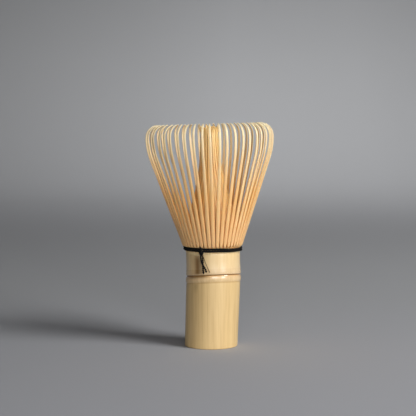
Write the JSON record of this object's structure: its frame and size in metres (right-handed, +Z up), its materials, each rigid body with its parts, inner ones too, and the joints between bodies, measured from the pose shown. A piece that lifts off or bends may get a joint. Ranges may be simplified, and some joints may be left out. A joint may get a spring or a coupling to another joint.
{
  "type": "bamboo tea whisk",
  "caption": "Bamboo whisk for powdered tea: hollow handle with a node, laced collar, and an outer crown of hooked springy tines round an inner cone of tines.",
  "frame": {"origin": "centre of the handle's cut end, on the plane it stands on", "axes": "+Z up from the cut end towards the tines, square to the plane it stands on; -Y is the front, where the thread's knot lies a little to the -X side"},
  "size_m": [0.0641, 0.0641, 0.1128],
  "materials": {
    "bamboo_skin": "natural polished bamboo culm skin",
    "outer_tine_bamboo": "shaved bamboo, satin",
    "inner_tine_bamboo": "shaved bamboo, darker towards the pith",
    "lacing_thread": "black twisted cotton thread"
  },
  "bodies": {
    "culm": {"culm_handle": "bamboo_skin", "lacing_thread": "lacing_thread", "thread_knot": "lacing_thread", "thread_long_end": "lacing_thread", "thread_straight_end": "lacing_thread"},
    "outer_tine_01": {"outer_tine_01": "outer_tine_bamboo"},
    "outer_tine_02": {"outer_tine_02": "outer_tine_bamboo"},
    "outer_tine_03": {"outer_tine_03": "outer_tine_bamboo"},
    "outer_tine_04": {"outer_tine_04": "outer_tine_bamboo"},
    "outer_tine_05": {"outer_tine_05": "outer_tine_bamboo"},
    "outer_tine_06": {"outer_tine_06": "outer_tine_bamboo"},
    "outer_tine_07": {"outer_tine_07": "outer_tine_bamboo"},
    "outer_tine_08": {"outer_tine_08": "outer_tine_bamboo"},
    "outer_tine_09": {"outer_tine_09": "outer_tine_bamboo"},
    "outer_tine_10": {"outer_tine_10": "outer_tine_bamboo"},
    "outer_tine_11": {"outer_tine_11": "outer_tine_bamboo"},
    "outer_tine_12": {"outer_tine_12": "outer_tine_bamboo"},
    "outer_tine_13": {"outer_tine_13": "outer_tine_bamboo"},
    "outer_tine_14": {"outer_tine_14": "outer_tine_bamboo"},
    "outer_tine_15": {"outer_tine_15": "outer_tine_bamboo"},
    "outer_tine_16": {"outer_tine_16": "outer_tine_bamboo"},
    "outer_tine_17": {"outer_tine_17": "outer_tine_bamboo"},
    "outer_tine_18": {"outer_tine_18": "outer_tine_bamboo"},
    "outer_tine_19": {"outer_tine_19": "outer_tine_bamboo"},
    "outer_tine_20": {"outer_tine_20": "outer_tine_bamboo"},
    "outer_tine_21": {"outer_tine_21": "outer_tine_bamboo"},
    "outer_tine_22": {"outer_tine_22": "outer_tine_bamboo"},
    "outer_tine_23": {"outer_tine_23": "outer_tine_bamboo"},
    "outer_tine_24": {"outer_tine_24": "outer_tine_bamboo"},
    "outer_tine_25": {"outer_tine_25": "outer_tine_bamboo"},
    "outer_tine_26": {"outer_tine_26": "outer_tine_bamboo"},
    "outer_tine_27": {"outer_tine_27": "outer_tine_bamboo"},
    "outer_tine_28": {"outer_tine_28": "outer_tine_bamboo"},
    "outer_tine_29": {"outer_tine_29": "outer_tine_bamboo"},
    "outer_tine_30": {"outer_tine_30": "outer_tine_bamboo"},
    "outer_tine_31": {"outer_tine_31": "outer_tine_bamboo"},
    "outer_tine_32": {"outer_tine_32": "outer_tine_bamboo"},
    "outer_tine_33": {"outer_tine_33": "outer_tine_bamboo"},
    "outer_tine_34": {"outer_tine_34": "outer_tine_bamboo"},
    "outer_tine_35": {"outer_tine_35": "outer_tine_bamboo"},
    "outer_tine_36": {"outer_tine_36": "outer_tine_bamboo"},
    "outer_tine_37": {"outer_tine_37": "outer_tine_bamboo"},
    "outer_tine_38": {"outer_tine_38": "outer_tine_bamboo"},
    "outer_tine_39": {"outer_tine_39": "outer_tine_bamboo"},
    "outer_tine_40": {"outer_tine_40": "outer_tine_bamboo"},
    "outer_tine_41": {"outer_tine_41": "outer_tine_bamboo"},
    "outer_tine_42": {"outer_tine_42": "outer_tine_bamboo"},
    "outer_tine_43": {"outer_tine_43": "outer_tine_bamboo"},
    "outer_tine_44": {"outer_tine_44": "outer_tine_bamboo"},
    "outer_tine_45": {"outer_tine_45": "outer_tine_bamboo"},
    "outer_tine_46": {"outer_tine_46": "outer_tine_bamboo"},
    "outer_tine_47": {"outer_tine_47": "outer_tine_bamboo"},
    "outer_tine_48": {"outer_tine_48": "outer_tine_bamboo"},
    "inner_tines_1": {"inner_tines_1": "inner_tine_bamboo"},
    "inner_tines_2": {"inner_tines_2": "inner_tine_bamboo"},
    "inner_tines_3": {"inner_tines_3": "inner_tine_bamboo"},
    "inner_tines_4": {"inner_tines_4": "inner_tine_bamboo"},
    "inner_tines_5": {"inner_tines_5": "inner_tine_bamboo"},
    "inner_tines_6": {"inner_tines_6": "inner_tine_bamboo"}
  },
  "joints": [
    {"name": "outer_tine_01_flex", "type": "hinge", "parent": "culm", "child": "outer_tine_01", "pos_m": [0.00104, -0.01462, 0.0512], "axis": [0.9994, 0.0175, 0.0304], "range_deg": [-10, 6], "stiffness_Nm_per_rad": 0.0033},
    {"name": "outer_tine_02_flex", "type": "hinge", "parent": "culm", "child": "outer_tine_02", "pos_m": [0.00295, -0.01446, 0.05126], "axis": [0.9886, 0.1478, 0.03], "range_deg": [-10, 6], "stiffness_Nm_per_rad": 0.0033},
    {"name": "outer_tine_03_flex", "type": "hinge", "parent": "culm", "child": "outer_tine_03", "pos_m": [0.00481, -0.01406, 0.05131], "axis": [0.9608, 0.2756, 0.0292], "range_deg": [-10, 6], "stiffness_Nm_per_rad": 0.0033},
    {"name": "outer_tine_04_flex", "type": "hinge", "parent": "culm", "child": "outer_tine_04", "pos_m": [0.00662, -0.01341, 0.05137], "axis": [0.9166, 0.3987, 0.0278], "range_deg": [-10, 6], "stiffness_Nm_per_rad": 0.0033},
    {"name": "outer_tine_05_flex", "type": "hinge", "parent": "culm", "child": "outer_tine_05", "pos_m": [0.00831, -0.01254, 0.05142], "axis": [0.8568, 0.515, 0.026], "range_deg": [-10, 6], "stiffness_Nm_per_rad": 0.0033},
    {"name": "outer_tine_06_flex", "type": "hinge", "parent": "culm", "child": "outer_tine_06", "pos_m": [0.00989, -0.01145, 0.05147], "axis": [0.7822, 0.6225, 0.0238], "range_deg": [-10, 6], "stiffness_Nm_per_rad": 0.0033},
    {"name": "outer_tine_07_flex", "type": "hinge", "parent": "culm", "child": "outer_tine_07", "pos_m": [0.0113, -0.01016, 0.05151], "axis": [0.6943, 0.7193, 0.0211], "range_deg": [-10, 6], "stiffness_Nm_per_rad": 0.0033},
    {"name": "outer_tine_08_flex", "type": "hinge", "parent": "culm", "child": "outer_tine_08", "pos_m": [0.01254, -0.0087, 0.05155], "axis": [0.5945, 0.8039, 0.0181], "range_deg": [-10, 6], "stiffness_Nm_per_rad": 0.0033},
    {"name": "outer_tine_09_flex", "type": "hinge", "parent": "culm", "child": "outer_tine_09", "pos_m": [0.01357, -0.00709, 0.05158], "axis": [0.4846, 0.8746, 0.0147], "range_deg": [-10, 6], "stiffness_Nm_per_rad": 0.0033},
    {"name": "outer_tine_10_flex", "type": "hinge", "parent": "culm", "child": "outer_tine_10", "pos_m": [0.01439, -0.00536, 0.05161], "axis": [0.3663, 0.9304, 0.0111], "range_deg": [-10, 6], "stiffness_Nm_per_rad": 0.0033},
    {"name": "outer_tine_11_flex", "type": "hinge", "parent": "culm", "child": "outer_tine_11", "pos_m": [0.01497, -0.00354, 0.05162], "axis": [0.2418, 0.9703, 0.0073], "range_deg": [-10, 6], "stiffness_Nm_per_rad": 0.0033},
    {"name": "outer_tine_12_flex", "type": "hinge", "parent": "culm", "child": "outer_tine_12", "pos_m": [0.01531, -0.00166, 0.05163], "axis": [0.1132, 0.9936, 0.0034], "range_deg": [-10, 6], "stiffness_Nm_per_rad": 0.0033},
    {"name": "outer_tine_13_flex", "type": "hinge", "parent": "culm", "child": "outer_tine_13", "pos_m": [0.0154, 0.00026, 0.05164], "axis": [-0.0174, 0.9998, -0.0005], "range_deg": [-10, 6], "stiffness_Nm_per_rad": 0.0033},
    {"name": "outer_tine_14_flex", "type": "hinge", "parent": "culm", "child": "outer_tine_14", "pos_m": [0.01524, 0.00216, 0.05163], "axis": [-0.1477, 0.989, -0.0045], "range_deg": [-10, 6], "stiffness_Nm_per_rad": 0.0033},
    {"name": "outer_tine_15_flex", "type": "hinge", "parent": "culm", "child": "outer_tine_15", "pos_m": [0.01484, 0.00403, 0.05162], "axis": [-0.2755, 0.9613, -0.0084], "range_deg": [-10, 6], "stiffness_Nm_per_rad": 0.0033},
    {"name": "outer_tine_16_flex", "type": "hinge", "parent": "culm", "child": "outer_tine_16", "pos_m": [0.01419, 0.00583, 0.0516], "axis": [-0.3986, 0.9171, -0.0121], "range_deg": [-10, 6], "stiffness_Nm_per_rad": 0.0033},
    {"name": "outer_tine_17_flex", "type": "hinge", "parent": "culm", "child": "outer_tine_17", "pos_m": [0.01332, 0.00753, 0.05157], "axis": [-0.5148, 0.8572, -0.0156], "range_deg": [-10, 6], "stiffness_Nm_per_rad": 0.0033},
    {"name": "outer_tine_18_flex", "type": "hinge", "parent": "culm", "child": "outer_tine_18", "pos_m": [0.01223, 0.0091, 0.05154], "axis": [-0.6222, 0.7826, -0.0189], "range_deg": [-10, 6], "stiffness_Nm_per_rad": 0.0033},
    {"name": "outer_tine_19_flex", "type": "hinge", "parent": "culm", "child": "outer_tine_19", "pos_m": [0.01094, 0.01052, 0.0515], "axis": [-0.719, 0.6947, -0.0218], "range_deg": [-10, 6], "stiffness_Nm_per_rad": 0.0033},
    {"name": "outer_tine_20_flex", "type": "hinge", "parent": "culm", "child": "outer_tine_20", "pos_m": [0.00948, 0.01176, 0.05146], "axis": [-0.8035, 0.5948, -0.0244], "range_deg": [-10, 6], "stiffness_Nm_per_rad": 0.0033},
    {"name": "outer_tine_21_flex", "type": "hinge", "parent": "culm", "child": "outer_tine_21", "pos_m": [0.00787, 0.01279, 0.05141], "axis": [-0.8742, 0.4848, -0.0266], "range_deg": [-10, 6], "stiffness_Nm_per_rad": 0.0033},
    {"name": "outer_tine_22_flex", "type": "hinge", "parent": "culm", "child": "outer_tine_22", "pos_m": [0.00614, 0.01361, 0.05136], "axis": [-0.93, 0.3665, -0.0283], "range_deg": [-10, 6], "stiffness_Nm_per_rad": 0.0033},
    {"name": "outer_tine_23_flex", "type": "hinge", "parent": "culm", "child": "outer_tine_23", "pos_m": [0.00432, 0.01419, 0.0513], "axis": [-0.9698, 0.2419, -0.0295], "range_deg": [-10, 6], "stiffness_Nm_per_rad": 0.0033},
    {"name": "outer_tine_24_flex", "type": "hinge", "parent": "culm", "child": "outer_tine_24", "pos_m": [0.00244, 0.01453, 0.05124], "axis": [-0.9931, 0.1132, -0.0302], "range_deg": [-10, 6], "stiffness_Nm_per_rad": 0.0033},
    {"name": "outer_tine_25_flex", "type": "hinge", "parent": "culm", "child": "outer_tine_25", "pos_m": [0.00053, 0.01462, 0.05119], "axis": [-0.9994, -0.0175, -0.0304], "range_deg": [-10, 6], "stiffness_Nm_per_rad": 0.0033},
    {"name": "outer_tine_26_flex", "type": "hinge", "parent": "culm", "child": "outer_tine_26", "pos_m": [-0.00137, 0.01446, 0.05113], "axis": [-0.9886, -0.1478, -0.03], "range_deg": [-10, 6], "stiffness_Nm_per_rad": 0.0033},
    {"name": "outer_tine_27_flex", "type": "hinge", "parent": "culm", "child": "outer_tine_27", "pos_m": [-0.00324, 0.01406, 0.05107], "axis": [-0.9608, -0.2756, -0.0292], "range_deg": [-10, 6], "stiffness_Nm_per_rad": 0.0033},
    {"name": "outer_tine_28_flex", "type": "hinge", "parent": "culm", "child": "outer_tine_28", "pos_m": [-0.00504, 0.01341, 0.05102], "axis": [-0.9166, -0.3987, -0.0278], "range_deg": [-10, 6], "stiffness_Nm_per_rad": 0.0033},
    {"name": "outer_tine_29_flex", "type": "hinge", "parent": "culm", "child": "outer_tine_29", "pos_m": [-0.00674, 0.01254, 0.05096], "axis": [-0.8568, -0.515, -0.026], "range_deg": [-10, 6], "stiffness_Nm_per_rad": 0.0033},
    {"name": "outer_tine_30_flex", "type": "hinge", "parent": "culm", "child": "outer_tine_30", "pos_m": [-0.00831, 0.01145, 0.05092], "axis": [-0.7822, -0.6225, -0.0238], "range_deg": [-10, 6], "stiffness_Nm_per_rad": 0.0033},
    {"name": "outer_tine_31_flex", "type": "hinge", "parent": "culm", "child": "outer_tine_31", "pos_m": [-0.00973, 0.01016, 0.05087], "axis": [-0.6943, -0.7193, -0.0211], "range_deg": [-10, 6], "stiffness_Nm_per_rad": 0.0033},
    {"name": "outer_tine_32_flex", "type": "hinge", "parent": "culm", "child": "outer_tine_32", "pos_m": [-0.01097, 0.0087, 0.05084], "axis": [-0.5945, -0.8039, -0.0181], "range_deg": [-10, 6], "stiffness_Nm_per_rad": 0.0033},
    {"name": "outer_tine_33_flex", "type": "hinge", "parent": "culm", "child": "outer_tine_33", "pos_m": [-0.012, 0.00709, 0.05081], "axis": [-0.4846, -0.8746, -0.0147], "range_deg": [-10, 6], "stiffness_Nm_per_rad": 0.0033},
    {"name": "outer_tine_34_flex", "type": "hinge", "parent": "culm", "child": "outer_tine_34", "pos_m": [-0.01282, 0.00536, 0.05078], "axis": [-0.3663, -0.9304, -0.0111], "range_deg": [-10, 6], "stiffness_Nm_per_rad": 0.0033},
    {"name": "outer_tine_35_flex", "type": "hinge", "parent": "culm", "child": "outer_tine_35", "pos_m": [-0.0134, 0.00354, 0.05076], "axis": [-0.2418, -0.9703, -0.0073], "range_deg": [-10, 6], "stiffness_Nm_per_rad": 0.0033},
    {"name": "outer_tine_36_flex", "type": "hinge", "parent": "culm", "child": "outer_tine_36", "pos_m": [-0.01374, 0.00166, 0.05075], "axis": [-0.1132, -0.9936, -0.0034], "range_deg": [-10, 6], "stiffness_Nm_per_rad": 0.0033},
    {"name": "outer_tine_37_flex", "type": "hinge", "parent": "culm", "child": "outer_tine_37", "pos_m": [-0.01383, -0.00026, 0.05075], "axis": [0.0174, -0.9998, 0.0005], "range_deg": [-10, 6], "stiffness_Nm_per_rad": 0.0033},
    {"name": "outer_tine_38_flex", "type": "hinge", "parent": "culm", "child": "outer_tine_38", "pos_m": [-0.01367, -0.00216, 0.05075], "axis": [0.1477, -0.989, 0.0045], "range_deg": [-10, 6], "stiffness_Nm_per_rad": 0.0033},
    {"name": "outer_tine_39_flex", "type": "hinge", "parent": "culm", "child": "outer_tine_39", "pos_m": [-0.01327, -0.00403, 0.05077], "axis": [0.2755, -0.9613, 0.0084], "range_deg": [-10, 6], "stiffness_Nm_per_rad": 0.0033},
    {"name": "outer_tine_40_flex", "type": "hinge", "parent": "culm", "child": "outer_tine_40", "pos_m": [-0.01262, -0.00583, 0.05079], "axis": [0.3986, -0.9171, 0.0121], "range_deg": [-10, 6], "stiffness_Nm_per_rad": 0.0033},
    {"name": "outer_tine_41_flex", "type": "hinge", "parent": "culm", "child": "outer_tine_41", "pos_m": [-0.01174, -0.00753, 0.05081], "axis": [0.5148, -0.8572, 0.0156], "range_deg": [-10, 6], "stiffness_Nm_per_rad": 0.0033},
    {"name": "outer_tine_42_flex", "type": "hinge", "parent": "culm", "child": "outer_tine_42", "pos_m": [-0.01065, -0.0091, 0.05085], "axis": [0.6222, -0.7826, 0.0189], "range_deg": [-10, 6], "stiffness_Nm_per_rad": 0.0033},
    {"name": "outer_tine_43_flex", "type": "hinge", "parent": "culm", "child": "outer_tine_43", "pos_m": [-0.00937, -0.01052, 0.05088], "axis": [0.719, -0.6947, 0.0218], "range_deg": [-10, 6], "stiffness_Nm_per_rad": 0.0033},
    {"name": "outer_tine_44_flex", "type": "hinge", "parent": "culm", "child": "outer_tine_44", "pos_m": [-0.00791, -0.01176, 0.05093], "axis": [0.8035, -0.5948, 0.0244], "range_deg": [-10, 6], "stiffness_Nm_per_rad": 0.0033},
    {"name": "outer_tine_45_flex", "type": "hinge", "parent": "culm", "child": "outer_tine_45", "pos_m": [-0.0063, -0.01279, 0.05098], "axis": [0.8742, -0.4848, 0.0266], "range_deg": [-10, 6], "stiffness_Nm_per_rad": 0.0033},
    {"name": "outer_tine_46_flex", "type": "hinge", "parent": "culm", "child": "outer_tine_46", "pos_m": [-0.00457, -0.01361, 0.05103], "axis": [0.93, -0.3665, 0.0283], "range_deg": [-10, 6], "stiffness_Nm_per_rad": 0.0033},
    {"name": "outer_tine_47_flex", "type": "hinge", "parent": "culm", "child": "outer_tine_47", "pos_m": [-0.00275, -0.01419, 0.05108], "axis": [0.9698, -0.2419, 0.0295], "range_deg": [-10, 6], "stiffness_Nm_per_rad": 0.0033},
    {"name": "outer_tine_48_flex", "type": "hinge", "parent": "culm", "child": "outer_tine_48", "pos_m": [-0.00087, -0.01453, 0.05114], "axis": [0.9931, -0.1132, 0.0302], "range_deg": [-10, 6], "stiffness_Nm_per_rad": 0.0033},
    {"name": "inner_tines_1_spread", "type": "hinge", "parent": "culm", "child": "inner_tines_1", "pos_m": [0.00744, -0.01108, 0.0514], "axis": [0.8568, 0.515, 0.026], "range_deg": [0, 4], "stiffness_Nm_per_rad": 0.004},
    {"name": "inner_tines_2_spread", "type": "hinge", "parent": "culm", "child": "inner_tines_2", "pos_m": [0.0137, 0.00023, 0.05158], "axis": [-0.0174, 0.9998, -0.0005], "range_deg": [0, 4], "stiffness_Nm_per_rad": 0.004},
    {"name": "inner_tines_3_spread", "type": "hinge", "parent": "culm", "child": "inner_tines_3", "pos_m": [0.00705, 0.0113, 0.05138], "axis": [-0.8742, 0.4848, -0.0266], "range_deg": [0, 4], "stiffness_Nm_per_rad": 0.004},
    {"name": "inner_tines_4_spread", "type": "hinge", "parent": "culm", "child": "inner_tines_4", "pos_m": [-0.00587, 0.01108, 0.05099], "axis": [-0.8568, -0.515, -0.026], "range_deg": [0, 4], "stiffness_Nm_per_rad": 0.004},
    {"name": "inner_tines_5_spread", "type": "hinge", "parent": "culm", "child": "inner_tines_5", "pos_m": [-0.01213, -0.00023, 0.0508], "axis": [0.0174, -0.9998, 0.0005], "range_deg": [0, 4], "stiffness_Nm_per_rad": 0.004},
    {"name": "inner_tines_6_spread", "type": "hinge", "parent": "culm", "child": "inner_tines_6", "pos_m": [-0.00548, -0.0113, 0.051], "axis": [0.8742, -0.4848, 0.0266], "range_deg": [0, 4], "stiffness_Nm_per_rad": 0.004}
  ]
}
